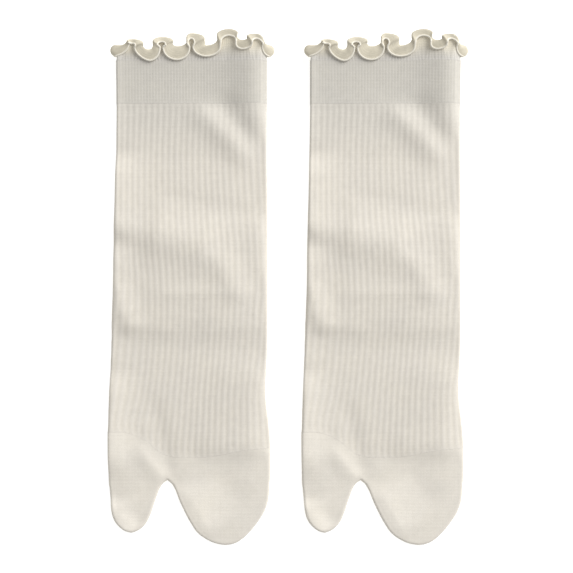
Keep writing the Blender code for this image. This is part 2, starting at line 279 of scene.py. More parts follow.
# Where the front, the back and the side fold between them are lifted off the floor together.
LIFTS = (
    Crease((-50, -4), (-50, 50), 1.6, 8, 8),
    Crease((-52, 60), (-52, 104), 4.2, 16, 16),
    Crease((-51, 112), (-51, 156), 2.6, 13, 13),
    Crease((-51, 158), (-51, 182), 1.4, 10, 10),
    Crease((-51, 188), (-50, 244), 3.2, 11, 11),
    Crease((-47, 264), (-41, 284), 2.2, 9, 9),
    Crease((-11, 258), (5, 286), 2, 9, 6),
)
BACK_CREASES = (
    Crease((-40, 34), (-8, 48), -0.5, 5, 6),
    Crease((4, 62), (40, 80), -0.45, 6, 5),
    Crease((-36, 88), (10, 96), -0.4, 5, 5),
    Crease((-42, 168), (-6, 176), -0.4, 5, 6),
    Crease((8, 186), (42, 200), -0.45, 6, 5),
    Crease((-30, 206), (-14, 246), -0.4, 5, 5),
    Crease((6, 250), (36, 266), -0.4, 7, 6),
)


def smooth(share):
    """0 to 1 with level ends, as share goes from 0 to 1."""
    share = np.clip(share, 0.0, 1.0)
    return share * share * (3.0 - 2.0 * share)


def curve_through(table, key, field, places):
    """A field of a table along a smooth curve through its rows."""
    keys = np.array([getattr(row, key) for row in table], float)
    values = np.array([getattr(row, field) for row in table], float)
    slopes = np.gradient(values, keys)
    row = np.clip(np.searchsorted(keys, places) - 1, 0, len(keys) - 2)
    step = keys[row + 1] - keys[row]
    t = np.clip((places - keys[row]) / step, 0.0, 1.0)
    level = values[row] * (1 - smooth(t)) + values[row + 1] * smooth(t)
    return level + step * t * (1 - t) * (slopes[row] * (1 - t) - slopes[row + 1] * t)


def creased(creases, across, down):
    """How far the creases raise the cloth."""
    raised = np.zeros(np.broadcast(across, down).shape)
    for crease in creases:
        run = np.subtract(crease.end, crease.start)
        length = math.hypot(*run)
        along = ((across - crease.start[0]) * run[0] + (down - crease.start[1]) * run[1]) / length**2
        aside = ((across - crease.start[0]) * run[1] - (down - crease.start[1]) * run[0]) / length
        width = np.where(aside > 0, crease.left_width, crease.right_width)
        fade_in = smooth((along + CREASE_FADE) / (2 * CREASE_FADE))
        ends = fade_in * smooth((1 + CREASE_FADE - along) / (2 * CREASE_FADE))
        raised += crease.height * ends * np.exp(-((aside / width) ** 2))
    return raised


def over_heel(down, ramp):
    """1 along the heel pouch and 0 past both its ends, with a ramp before each."""
    return smooth((down - HEEL_TOP + ramp) / ramp) * smooth((HEEL_TIP + ramp - down) / ramp)


def fold_lift(down):
    """How high the side folds lie above the floor: a little beside the heel pouch, and more at the mouth."""
    at_mouth = MOUTH_LIFT * np.clip(1 - down / MOUTH_LIFT_REACH, 0, 1) ** 2
    return FOLD_LIFT * over_heel(down, FOLD_RAMP) + at_mouth


def back_height(down, distance):
    """How much higher the back lies than the folds, where it passes over the heel pouch."""
    inside = smooth((distance - FOLD_RADIUS) / (HEEL_EDGE - FOLD_RADIUS))
    pouch = (HEEL_HEIGHT + HEEL_GAP) * over_heel(down, HEEL_RAMP)
    return np.maximum(pouch - FOLD_LIFT * over_heel(down, FOLD_RAMP), 0.0) * inside


def swell(down, distance):
    """How much higher the front stands than two layers that are pressed together. It rises over the heel
    pouch much more softly than the back does."""
    rise = smooth((down - RISE_START) / (RISE_TOP - RISE_START))
    rise = rise * smooth((RISE_FOOT - down) / (RISE_FOOT - RISE_FALL))
    crown = CROWN * smooth((distance - FOLD_RADIUS) / CROWN_REACH)
    return crown + RISE * rise * smooth(distance / RISE_REACH)


def layer_height(face, across, down, distance, half):
    """The height of the front, where face is 1, or of the back, where it is -1. half is half the height of
    the flat tube, and the creases fade out at the folds."""
    free = smooth(distance / CREASE_START)
    front = half + swell(down, distance) + free * creased(FRONT_CREASES, across, down)
    level = back_height(down, distance)
    back = level - half - np.minimum(free * creased(BACK_CREASES, across, down), 0.0)
    front = np.maximum(front, level + half - SQUEEZE)
    return FOLD_RADIUS + fold_lift(down) + creased(LIFTS, across, down) + np.where(face > 0, front, back)


def rib_end(across):
    """How far down the sock the wide ribs end."""
    return curve_through(RIB_END, "across", "down", across)


def sides_at(down):
    """The left and the right side of the flat tube."""
    return curve_through(SIDES, "down", "left", down), curve_through(SIDES, "down", "right", down)


def round_the_tube(share, down, inset):
    """Places on the flat tube's side-to-side section. share goes over the front from 0 to 1 and beneath to 2.
    Gives the face, the place across, half the height there, the way out across and up, and how far the place
    lies in from the fold."""
    left, right = sides_at(down)
    quarter = math.pi / 2 * FOLD_RADIUS
    length = right - left - 2 * FOLD_RADIUS + 2 * quarter
    face = np.where(share <= 1.0, 1.0, -1.0)
    run = np.where(share <= 1.0, share, 2.0 - share) * length
    from_left = run < length / 2
    near = np.where(from_left, run, length - run)
    turn = np.clip(near / FOLD_RADIUS, 0.0, math.pi / 2)
    radius = FOLD_RADIUS - inset
    distance = FOLD_RADIUS - radius * np.cos(turn) + np.maximum(near - quarter, 0.0)
    across = np.where(from_left, left + distance, right - distance)
    way_across = np.where(from_left, -np.cos(turn), np.cos(turn))
    flat_distance = FOLD_RADIUS * (1 - np.cos(turn)) + np.maximum(near - quarter, 0.0)
    return face, across, radius * np.sin(turn), way_across, face * np.sin(turn), flat_distance


def rib_shares(ribs, down):
    """Where ribs, counted from the middle one, lie round the tube: 0 to 1 on the front, 1 to 2 beneath."""
    shares = np.empty(np.broadcast(ribs, down).shape)
    quarter_gain = (math.pi / 2 - 1) * FOLD_RADIUS
    for row, place in enumerate(down[:, 0]):
        left, right = sides_at(place)
        length = right - left + 2 * quarter_gain
        tracks = [curve_through(RIBS, "down", field, place) for field in Ribs._fields[1:]]
        seventh_left, middle, seventh_right, fold_left, fold_right = tracks
        knots = [fold_left, -7.0, 0.0, 7.0, fold_right, fold_left + RIB_COUNT]
        places = [(track - left + quarter_gain) / length for track in (seventh_left, middle, seventh_right)]
        wrapped = np.where(ribs < fold_left, ribs + RIB_COUNT, ribs)
        shares[row] = np.interp(wrapped, knots, [0.0, *places, 1.0, 2.0])
    return shares


def sock_place(side):
    """A sock's middle line and the top of its cuff, from the frame."""
    low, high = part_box(side + "_cuff")
    return ((low.x + high.x) / 2) / MM - CUFF_LEAN, high.y / MM


class Cloth:
    """Grids of cloth, sewn into one mesh where their edges meet. Each brings the places of its stitches,
    counted in wales and courses, and its own part of the sheet that the finish is baked on."""

    def __init__(self):
        self.points, self.quads, self.stitches, self.sheet, self.grooves = [], [], [], [], []
        self.count = 0

    def add(self, points, wales, courses, part, groove=0.0):
        """points has rows, columns and three lengths. part is the left, low, right and high side."""
        rows, columns = points.shape[:2]
        index = self.count + np.arange(rows * columns).reshape(rows, columns)
        corners = (index[:-1, :-1], index[1:, :-1], index[1:, 1:], index[:-1, 1:])
        self.quads.append(np.stack(corners, axis=-1).reshape(-1, 4))
        self.points.append(points.reshape(-1, 3))
        stitches = np.stack(np.broadcast_arrays(wales, courses, np.zeros((rows, columns)))[:2], axis=-1)
        self.stitches.append(stitches.reshape(-1, 2))
        left, low, right, high = part
        u = np.linspace(left, right, columns)[None, :] + np.zeros((rows, 1))
        v = np.linspace(high, low, rows)[:, None] + np.zeros((1, columns))
        self.sheet.append(np.stack((u, v), axis=-1).reshape(-1, 2))
        self.grooves.append((np.zeros((rows, columns)) + groove).reshape(-1))
        self.count += rows * columns

    def sew(self, side, name, material):
        """The finished piece of one sock, moved to that sock's place."""
        middle, top = sock_place(side)
        points = np.concatenate(self.points) * (1.0, -1.0, 1.0) + (middle, top, 0.0)
        quads = np.concatenate(self.quads)
        mesh = bpy.data.meshes.new(side + name)
        mesh.from_pydata((points * MM).tolist(), [], quads.tolist())
        for layer, places in (("OFBake", self.sheet), ("Stitches", self.stitches)):
            uv = mesh.uv_layers.new(name=layer)
            corners = np.concatenate(places)[quads.reshape(-1)]
            uv.data.foreach_set("uv", corners.astype(np.float32).reshape(-1))
        groove = mesh.attributes.new("groove", "FLOAT", "POINT")
        groove.data.foreach_set("value", np.concatenate(self.grooves).astype(np.float32))
        sewn = bmesh.new()
        sewn.from_mesh(mesh)
        bmesh.ops.remove_doubles(sewn, verts=sewn.verts, dist=MERGE * MM)
        bmesh.ops.recalc_face_normals(sewn, faces=sewn.faces)
        sewn.to_mesh(mesh)
        sewn.free()
        mesh.shade_smooth()
        mesh.set_sharp_from_angle(angle=RIM_ANGLE)
        mesh.materials.append(material)
        piece = bpy.data.objects.new(side + name, mesh)
        bpy.context.scene.collection.objects.link(piece)
        return piece


def tube_points(ribs, down, inset, relief=0.0):
    """Points of the flat tube, a row for each place down and a column for each rib. The lower rows give way
    to the line where the ribs end, and relief is how deep the grooves lie."""
    shares = rib_shares(ribs, down)
    bend = smooth((down - RIB_END_DOWN + RIB_END_REACH) / RIB_END_REACH)
    bent = down + np.zeros(shares.shape)
    for _ in range(2):
        face, across, half, way_across, way_up, distance = round_the_tube(shares, bent, inset)
        bent = down + bend * (rib_end(across) - RIB_END_DOWN)
    height = layer_height(face, across, bent, distance, half)
    return np.stack((across - relief * way_across, bent, height - relief * way_up), axis=-1), face, bent


def groove_of(ribs, count):
    """0 along the middle of each rib and 1 along the middle of each groove."""
    return 0.5 - 0.5 * np.cos(2 * math.pi * ribs * count / RIB_COUNT)


def tube_wall(count, downs, inner_rows, depth, top_fade, foot_fade):
    """A ribbed stretch of the tube with the cloth's own thickness, open at both ends. Its grooves reach their
    full depth this far from its top and from its foot."""
    ribs = FIRST_RIB + np.linspace(0.0, RIB_COUNT, count * RIB_STEPS + 1)[None, :]
    wales = ribs * WALES_PER_RIB
    downs = downs[:, None]
    _, face, bent = tube_points(ribs, downs, 0.0)
    ends = smooth((downs[-1] - downs) / foot_fade)
    if top_fade:
        ends = ends * smooth((downs - downs[0]) / top_fade)
    sole = np.where(face > 0, 1.0, 1.0 - smooth((bent - HEEL_TIP) / SOLE_FADE))
    groove = groove_of(ribs, count) * ends * sole
    outer, _, _ = tube_points(ribs, downs, 0.0, depth * groove)
    few = np.linspace(downs[0, 0], downs[-1, 0], inner_rows)[:, None]
    inner, _, inner_bent = tube_points(ribs, few, WALL)
    cloth = Cloth()
    cloth.add(outer, wales, bent / COURSE, (0.0, 0.2, 1.0, 1.0), groove)
    cloth.add(inner, wales, inner_bent / COURSE, (0.0, 0.0, 1.0, 0.18))
    for row, part in ((0, (0.0, 0.19, 0.48, 0.195)), (-1, (0.52, 0.19, 1.0, 0.195))):
        rim = np.stack((outer[row], inner[row]))
        cloth.add(rim, wales, np.stack((bent[row], bent[row] + WALL)) / COURSE, part)
    return cloth


Root = namedtuple("Root", "colour first last")  # a colour that fades out from one course to another
STITCH_RELIEF = 0.16
STITCH_SLANT = 0.45  # of a course, from the middle of a stitch's V to its side
STITCH_DEPTH, PURL_DEPTH = 0.6, 0.2  # from one course to the next, on the ribs and in the grooves
PURL_DRIFT = 1.6  # how unevenly the courses of the grooves run
BROKEN_GAIN, BROKEN_CUT = 3.4, 0.7  # how the shade of the grooves comes and goes along them
YELLOW_PATCH_AND_SHADE = (0.985, 0.975, 0.93)  # how much yellower the cloth gets, as a share of its colour: in random patches of yarn, and as painted warm shade in the grooves
FLUFF = 2600.0  # as the scale of its noise
# How much each kind of unevenness lightens or darkens the cloth.
DRIFT_TONE, PATCH_TONE, ROW_TONE, COLUMN_TONE, MOTTLE_TONE = 0.12, 0.05, 0.06, 0.06, 0.10


def stitch_places(place):
    """The places of the stitches, and the wale and the course of each alone."""
    stitches = place.node("ShaderNodeUVMap", {"uv_map": "Stitches"})
    wale = stitches.node("ShaderNodeSeparateXYZ", inputs={0: stitches}, output=0)
    course = stitches.node("ShaderNodeSeparateXYZ", inputs={0: stitches}, output=1)
    return stitches, wale, course


def stretched(stitches, wales, courses):
    """The places of the stitches, squeezed along one way so that what is laid on them is drawn out."""
    return stitches.node("ShaderNodeMapping", inputs={"Vector": stitches, "Scale": (wales, courses, 1.0)})


def raise_surface(shader, relief, height, strength):
    """Small bumps in the surface, this high where relief is 1."""
    inputs = {"Height": relief, "Distance": height * MM, "Strength": strength}
    link(relief.node("ShaderNodeBump", inputs=inputs), shader, "Normal")


def knit_material(name, colour, shade, groove_shade, root=None):
    """Cotton knit: a V for every stitch of the ribs, a low bump for every stitch of the grooves, and the
    small differences of yarn, fluff and colour that such cloth has. shade is painted shade in the gaps
    between the yarns of a stitch, and groove_shade is painted shade in the grooves, unevenly along them."""
    material, shader, place = new_material(
        name, Roughness=0.92, Specular_IOR_Level=0.2, Sheen_Weight=0.18, Sheen_Roughness=0.45
    )
    stitches, wale, course = stitch_places(place)
    groove = place.node("ShaderNodeAttribute", {"attribute_name": "groove"}, output=2)

    aside = (wale.math("FRACT") - 0.5).math("ABSOLUTE") * 2.0
    yarn = 1.0 - (aside * 2.0 - 1.0).math("POWER", 2.0)
    slant = ((course - aside * STITCH_SLANT) * (2 * math.pi)).math("SINE") * 0.5 + 0.5
    knit = yarn * (slant * STITCH_DEPTH + (1.0 - STITCH_DEPTH))
    drift = noise(stitches, 0.9, 3.0, Roughness=0.6)
    purl = ((course + drift * PURL_DRIFT) * (2 * math.pi)).math("SINE") * PURL_DEPTH + 0.5
    stitch = knit * (1.0 - groove) + purl * groove

    fluff = noise(place, FLUFF, 3.0)
    patches = noise(place, 55.0)
    rows = noise(stretched(stitches, 0.03, 1.0), 0.6)
    columns = noise(stretched(stitches, 1.0, 0.02), 0.5)
    broken = noise(stretched(stitches, 1.0, 0.45), 0.32, 3.0)
    mottle = noise(place, 260.0)

    # Painted shade: the grooves and the gaps between the yarns of a stitch are darkened.
    tone = 1.0 - groove * groove_shade * (broken * BROKEN_GAIN - BROKEN_CUT) - (1.0 - stitch) * shade
    tone = tone + (drift - 0.5) * DRIFT_TONE + (patches - 0.5) * PATCH_TONE
    tone = tone + (rows - 0.5) * ROW_TONE + (columns - 0.5) * COLUMN_TONE + (mottle - 0.5) * MOTTLE_TONE
    warm = tuple(part * share for part, share in zip(colour, YELLOW_PATCH_AND_SHADE)) + (1.0,)
    # Yellower in random patches of yarn, and in the grooves as painted warm shade.
    cloth_colour = (patches * 0.6 + groove * 0.4).mix((*colour, 1.0), warm)
    if root:
        faded = course.node(
            "ShaderNodeMapRange",
            {"interpolation_type": "SMOOTHSTEP"},
            {"Value": course, "From Min": root.first, "From Max": root.last},
        )
        cloth_colour = faded.mix((*root.colour, 1.0), cloth_colour)
    link(cloth_colour.times(tone), shader, "Base Color")
    raise_surface(shader, stitch * 0.7 + fluff * 0.5, STITCH_RELIEF, 0.7)
    return material


LEG_COLOUR = (0.753, 0.711, 0.648)
# The top of the leg is darker and greyer, fading out by the 75th course: partly the cuff's tone carried on,
# partly painted shade below the cuff.
LEG_TOP_TONE_AND_SHADE = Root((0.697, 0.662, 0.597), 29.0, 75.0)
LEG_TOP_FADE, LEG_FOOT_FADE = 1.2, 2.5
wide_rib_knit = knit_material("Wide rib knit", LEG_COLOUR, shade=0.10, groove_shade=0.05, root=LEG_TOP_TONE_AND_SHADE)
leg_rows = int((RIB_END_DOWN - CUFF_DEPTH) / ROW_STEP)
leg_downs = np.linspace(CUFF_DEPTH + JOIN, RIB_END_DOWN, leg_rows)
leg_cloth = tube_wall(RIB_COUNT, leg_downs, INNER_ROWS, RIB_DEPTH, LEG_TOP_FADE, LEG_FOOT_FADE)
for side in SOCKS:
    leg = leg_cloth.sew(side, "_ribbed_leg", wide_rib_knit)
    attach(leg, "root")
    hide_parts(side + "_leg")

# ----------------------------------------
# Cuff, a band of finer and tighter ribs in the same cotton, two to each rib of the leg. It is knitted in one
# piece with the leg, and holds the sock up.

FINE_RIBS = 2 * RIB_COUNT
FINE_RIB_DEPTH = 0.06
# Darker and greyer than the leg: partly the band's own tone, partly painted shade.
CUFF_COLOUR = (0.645, 0.619, 0.572)
CUFF_ROWS, CUFF_INNER_ROWS = 16, 6
CUFF_TOP_FADE, CUFF_FOOT_FADE = 0.0, 1.0
fine_rib_knit = knit_material("Fine rib knit", CUFF_COLOUR, shade=0.10, groove_shade=0.03)
cuff_downs = np.linspace(0.0, CUFF_DEPTH, CUFF_ROWS)
cuff_cloth = tube_wall(FINE_RIBS, cuff_downs, CUFF_INNER_ROWS, FINE_RIB_DEPTH, CUFF_TOP_FADE, CUFF_FOOT_FADE)
for side in SOCKS:
    cuff = cuff_cloth.sew(side, "_ribbed_cuff", fine_rib_knit)
    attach(cuff, "root")
    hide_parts(side + "_cuff")

# ----------------------------------------
# Toe, in plain cotton knit that follows on from the ribs. It parts at the crotch into a pocket for the big
# toe and a wider one for the other toes, and each pocket is closed round its end.

CROTCH = Point(-14.7, 250.5)
BIG_TOE = (
    Side(251.4, -49.8, -16.2), Side(255.6, -49.3, -19.2), Side(261, -48.8, -21.2),
    Side(266.4, -48.3, -23), Side(271.5, -47.4, -24.8), Side(275.5, -45.6, -26.8),
    Side(278.5, -42.9, -29.2), Side(280.5, -40.2, -32), Side(281.6, -37.4, -34.8),
)
BIG_TOE_TIP = Point(-36.1, 281.9)
OTHER_TOES = (
    Side(251.4, -13.2, 46.8), Side(255.6, -10.2, 46.6), Side(262.8, -7.2, 45.8),
    Side(270, -3.8, 43.2), Side(276, -0.5, 39.3), Side(281.5, 3.3, 34.8),
    Side(285.5, 8.1, 30.6), Side(288, 13, 26.6), Side(289.1, 17.2, 22.8),
)
OTHER_TOES_TIP = Point(20.0, 289.4)
FOOT_TOP = 190.0  # the outline of the foot starts above the toe, so that it is smooth where they meet
OUTLINE_STEP = 0.6
PLAIN_WALE = 0.9
FOLD_STEPS = 5
FOLD_SHARE = 0.6  # of half a narrow pocket, which the points on its fold take up
BIG_TOE_STEPS, OTHER_TOES_STEPS = 44, 74
FOREFOOT_ROWS, INNER_FOREFOOT_ROWS = 26, 8
POCKET_ROWS = 34
TIP_CROWDING = 1.9  # above 1 a pocket's rows lie closer together at its tip
EDGE_REACH, EDGE_TRIES = 12.0, 241  # where the wall's inner face may begin


def round_off(points):
    """A smooth line through an outline's points, in short steps."""
    points = np.array(points, float)
    before = np.vstack((2 * points[0] - points[1], points[:-1]))
    after = np.vstack((points[1:], 2 * points[-1] - points[-2]))
    steps = np.linalg.norm(np.diff(points, axis=0), axis=1)
    gaps = np.concatenate((steps[:1], steps)), np.concatenate((steps, steps[-1:]))
    slopes = ((points - before) / gaps[0][:, None] * gaps[1][:, None]
              + (after - points) / gaps[1][:, None] * gaps[0][:, None]) / (gaps[0] + gaps[1])[:, None]
    line = []
    for i, step in enumerate(steps):
        t = np.linspace(0.0, 1.0, max(int(step / OUTLINE_STEP), 2) + 1)[:-1, None]
        line.append(points[i] * (1 - smooth(t)) + points[i + 1] * smooth(t)
                    + step * t * (1 - t) * (slopes[i] * (1 - t) - slopes[i + 1] * t))
    return np.vstack((*line, points[-1:]))


foot_sides = [side for side in SIDES if side.down > FOOT_TOP]
big_toe_left = round_off([(s.left, s.down) for s in (*foot_sides, *BIG_TOE)] + [BIG_TOE_TIP])
big_toe_right = round_off([BIG_TOE_TIP] + [(s.right, s.down) for s in BIG_TOE[::-1]] + [CROTCH])
other_toes_left = round_off([CROTCH] + [(s.left, s.down) for s in OTHER_TOES] + [OTHER_TOES_TIP])
right_sides = (*OTHER_TOES[::-1], *foot_sides[::-1])
other_toes_right = round_off([OTHER_TOES_TIP] + [(s.right, s.down) for s in right_sides])
OUTLINE = np.vstack((big_toe_left, big_toe_right[1:], other_toes_left[1:], other_toes_right[1:]))


def edge_distance(across, down):
    """How far points of the flat foot lie inside its outline."""
    across, down = np.broadcast_arrays(across, down)
    flat = np.stack((across.reshape(-1), down.reshape(-1)), axis=-1)
    nearest = np.full(len(flat), np.inf)
    for start, end in zip(OUTLINE, OUTLINE[1:]):
        run = end - start
        share = np.clip(((flat - start) @ run) / (run @ run), 0.0, 1.0)
        nearest = np.minimum(nearest, np.hypot(*(flat - start - share[:, None] * run).T))
    return nearest.reshape(across.shape)


def half_height(distance, inset):
    """Half the closed tube's height at a distance inside its outline: a quarter circle, then level."""
    level = np.clip(FOLD_RADIUS - distance, 0.0, None)
    return np.sqrt(np.clip((FOLD_RADIUS - inset) ** 2 - level * level, 0.0, None))


def fold_spacing(low, high, steps, inset):
    """Places from one edge to the other, closer together at the folds: on a quarter circle at each end."""
    radius = FOLD_RADIUS - inset
    angles = np.linspace(0.0, math.pi / 2, FOLD_STEPS + 1)
    near = radius * (1 - np.cos(angles))
    width = (high - low)[:, None]
    scale = np.minimum(1.0, width / 2 / radius * FOLD_SHARE)
    start = low[:, None] + near[None, :] * scale
    end = high[:, None] - near[None, ::-1] * scale
    between = np.linspace(0.0, 1.0, steps + 1)[None, 1:-1]
    middle = start[:, -1:] * (1 - between) + end[:, :1] * between
    return np.hstack((start, middle, end))


def both_faces(across, down, inset, parting=None):
    """Once round a flat pocket or foot: over the front from left to right, and back beneath. Front and back
    meet at both sides, and in the last row also at the column of the parting."""
    across, down = np.broadcast_arrays(across, down)
    distance = edge_distance(across, down)
    half = half_height(distance, inset)
    half[:, (0, -1)] = 0.0
    if parting:
        half[-1, parting] = 0.0
    front = layer_height(1.0, across, down, distance, half)
    back = layer_height(-1.0, across, down, distance, half)
    front = np.where(half > 0, front, (front + back) / 2)
    back = np.where(half > 0, back, front)
    faces = [np.stack((across, down, height), axis=-1) for height in (front, back)]
    return np.concatenate((faces[0], faces[1][:, -2::-1]), axis=1)


def flat_wales(points):
    """Wales counted along the front and on along the back."""
    steps = np.abs(np.diff(points[..., 0], axis=1)) / PLAIN_WALE
    return points[:, :1, 0] / PLAIN_WALE + np.hstack((np.zeros((len(points), 1)), np.cumsum(steps, axis=1)))


def inner_extent(line, downs, toward, inset):
    """One side of a pocket at each place down, moved in to where the wall's inner face begins."""
    order = np.argsort(line[:, 1])
    side = np.interp(downs, line[order, 1], line[order, 0])
    if not inset:
        return side
    reach = np.linspace(0.0, EDGE_REACH, EDGE_TRIES)[None, :] * toward
    distance = edge_distance(side[:, None] + reach, downs[:, None])
    first = np.argmax(distance >= inset, axis=1)
    return side + reach[0, first]


def pocket(left_line, right_line, tip, crotch, steps, inset):
    """Down one pocket, from the crotch to its closed end."""
    deep = tip.down - inset - crotch.down
    curve = np.linspace(0.0, 1.0, POCKET_ROWS)
    downs = crotch.down + deep * (1 - (1 - curve) ** TIP_CROWDING)
    rows = downs[:-1]
    left = inner_extent(left_line, rows, 1.0, inset)
    right = inner_extent(right_line, rows, -1.0, inset)
    if crotch.across < tip.across:
        left[0] = crotch.across
    else:
        right[0] = crotch.across
    points = both_faces(fold_spacing(left, right, steps, inset), rows[:, None], inset)
    end = np.zeros((1, points.shape[1], 3)) + (tip.across, downs[-1], FOLD_RADIUS)
    return np.concatenate((points, end))


def toe_grids(inset, forefoot_rows):
    """The forefoot down to the crotch, and both pockets."""
    crotch = Point(CROTCH.across, CROTCH.down - inset)
    shares = np.linspace(0.0, 1.0, forefoot_rows)
    downs = RIB_END_DOWN + (crotch.down - RIB_END_DOWN) * shares
    left = inner_extent(big_toe_left, downs, 1.0, inset)
    right = inner_extent(other_toes_right, downs, -1.0, inset)
    parting = np.full(len(downs), crotch.across)
    across = fold_spacing(left, parting, BIG_TOE_STEPS, inset)
    parting_column = across.shape[1] - 1
    across = np.hstack((across, fold_spacing(parting, right, OTHER_TOES_STEPS, inset)[:, 1:]))
    ahead = (1.0 - shares[:, None]) * (rib_end(across) + JOIN - RIB_END_DOWN)
    return (
        both_faces(across, downs[:, None] + ahead, inset, parting_column),
        pocket(big_toe_left, big_toe_right, BIG_TOE_TIP, crotch, BIG_TOE_STEPS, inset),
        pocket(other_toes_left, other_toes_right, OTHER_TOES_TIP, crotch, OTHER_TOES_STEPS, inset),
    )


PLAIN_COLOUR = (0.785, 0.742, 0.672)
plain_knit = knit_material("Plain knit", PLAIN_COLOUR, shade=0.09, groove_shade=0.0)
toe_cloth = Cloth()
outer_parts = ((0.0, 0.62, 1.0, 1.0), (0.0, 0.2, 0.42, 0.6), (0.44, 0.2, 1.0, 0.6))
inner_parts = ((0.0, 0.1, 1.0, 0.18), (0.0, 0.0, 0.42, 0.08), (0.44, 0.0, 1.0, 0.08))
outer_grids = toe_grids(0.0, FOREFOOT_ROWS)
inner_grids = toe_grids(WALL, INNER_FOREFOOT_ROWS)
for grids, parts in ((outer_grids, outer_parts), (inner_grids, inner_parts)):
    for grid, part in zip(grids, parts):
        toe_cloth.add(grid, flat_wales(grid), grid[..., 1] / COURSE, part)
toe_rim = np.stack((outer_grids[0][0], inner_grids[0][0]))
toe_cloth.add(toe_rim, flat_wales(toe_rim), toe_rim[..., 1] / COURSE, (0.0, 0.185, 1.0, 0.195))
for side in SOCKS:
    toe = toe_cloth.sew(side, "_plain_toe", plain_knit)
    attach(toe, "root")
    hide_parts(side + "_toe")

# ----------------------------------------
# Heel, a pouch of plain cotton knit that is turned in the knitting. It lies folded flat beneath the ankle,
# two layers of cloth with a groove between them round the edge.

Row = namedtuple("Row", "down half")
HEEL_MIDDLE = -0.8
HEEL_SIDES = (
    Row(108, 30), Row(109.6, 34.2), Row(113, 36), Row(124, 34.5), Row(136, 31.5),
    Row(145, 28), Row(150, 22.5), Row(153, 13),
)
HEEL_MOUTH, HEEL_END = (HEEL_MIDDLE, 107.8), (HEEL_MIDDLE, 153.6)
HEEL_CENTRE = np.array((HEEL_MIDDLE, 131.0))
HEEL_LAYERS = 2
LAYER_ROUND = HEEL_HEIGHT / HEEL_LAYERS / 2  # the radius of each layer's edge
FLAT_STEPS, EDGE_STEPS = 7, 8  # over the flat of a layer, and round its edge


def moved_in(line, distance):
    """A closed line, moved inwards."""
    after = np.roll(line[:-1], -1, axis=0) - np.roll(line[:-1], 1, axis=0)
    way = np.stack((-after[:, 1], after[:, 0]), axis=-1) / np.linalg.norm(after, axis=1)[:, None]
    centre = line[:-1].mean(axis=0)
    way *= np.where(((centre - line[:-1]) * way).sum(axis=1) < 0, -1.0, 1.0)[:, None]
    moved = line[:-1] + distance * way
    return np.vstack((moved, moved[:1]))


heel_left = [(HEEL_MIDDLE - row.half, row.down) for row in HEEL_SIDES]
heel_right = [(HEEL_MIDDLE + row.half, row.down) for row in HEEL_SIDES[::-1]]
heel_line = round_off([HEEL_MOUTH, *heel_left, HEEL_END, *heel_right, HEEL_MOUTH])
heel_flat = moved_in(heel_line, LAYER_ROUND)
heel_rings = []
for share in np.linspace(0.0, 1.0, FLAT_STEPS + 1)[:-1]:
    heel_rings.append((HEEL_CENTRE * (1 - share) + heel_flat * share, 0.0))
for layer in range(HEEL_LAYERS):
    for angle in np.linspace(-math.pi / 2, math.pi / 2, EDGE_STEPS + 1):
        line = moved_in(heel_line, LAYER_ROUND * (1 - math.cos(angle)))
        heel_rings.append((line, LAYER_ROUND * (1 + math.sin(angle) + 2 * layer)))
for share in np.linspace(1.0, 0.0, FLAT_STEPS + 1)[1:]:
    heel_rings.append((HEEL_CENTRE * (1 - share) + heel_flat * share, HEEL_HEIGHT))
heel_points = np.stack([np.column_stack((line, np.full(len(line), height))) for line, height in heel_rings])
heel_cloth = Cloth()
heel_cloth.add(
    heel_points, heel_points[..., 0] / PLAIN_WALE, heel_points[..., 1] / COURSE, (0.0, 0.0, 1.0, 1.0)
)
for side in SOCKS:
    heel = heel_cloth.sew(side, "_heel_pouch", plain_knit)
    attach(heel, "root")
    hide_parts(side + "_heel")

# ----------------------------------------
# Frill, a strip of fine cotton knit that grows out of the cuff. Its free edge is stretched as it is
# overlocked, until it is 1.7 times as long as the mouth and curls: lobes roll out over the cuff, and peaks
# stand between.

# A lobe stands at its place across the mouth. fold and edge are the heights of its rolled top and of its free
# edge above the mouth, left and right how far it bulges each way, and bulge the height where it is widest. A
# peak's left and right are its half widths, and there the free edge parts by twice the slit and lies lower
# than the top by curl. stand is how boldly each stands out. A lobe's side is pointed if its round is below 1.
LOBE_FIELDS = "across fold edge left right bulge stand left_round right_round"
Lobe = namedtuple("Lobe", LOBE_FIELDS, defaults=(1.0, 1.0))
Peak = namedtuple("Peak", "across top left right slit curl stand")
LEFT_LOBE = Lobe(SIDES[0].left + WALL / 2, 8.4, 2.8, 9.2, 9.2, 10.4, 1.0)
RIGHT_LOBE = Lobe(SIDES[0].right - WALL / 2, 8.4, 2.6, 5.0, 5.0, 8.6, 1.1)
FRONT_PEAKS = (
    Peak(-35, 11, 3, 6.4, 2, 1, 0.9),
    Peak(-17.6, 12.2, 5, 6.6, 2.6, 1.1, 0.8),
    Peak(0, 14.2, 2.6, 7.8, 2.2, 1.1, 0.8),
    Peak(22.2, 16.4, 6.6, 5, 4.6, 1.7, 0.8),
    Peak(38.6, 13.6, 5.2, 2.4, 2.2, 1, 0.8),
)
FRONT_LOBES = (
    Lobe(-25, 6.2, -0.1, 8.6, 6.4, 7.6, 1.1, 0.7),
    Lobe(-8.4, 8.2, 0.5, 8.3, 7.4, 7.6, 1),
    Lobe(9, 8.6, 2.6, 7.9, 8.2, 8, 1),
    Lobe(30.6, 11.4, 6.6, 4, 5.6, 9.6, 1),
)
UNDER_PEAKS = (
    Peak(37, 11, 3.6, 3.6, 1.4, 1, 1),
    Peak(20.5, 12.4, 4.2, 4.2, 1.2, 1.2, 1),
    Peak(3.2, 12.8, 4, 4.6, 1.4, 1.2, 1),
    Peak(-17.4, 10.2, 3.6, 3.6, 1.2, 1, 1),
    Peak(-34.4, 9.4, 3.2, 3.2, 1.4, 1, 1),
)
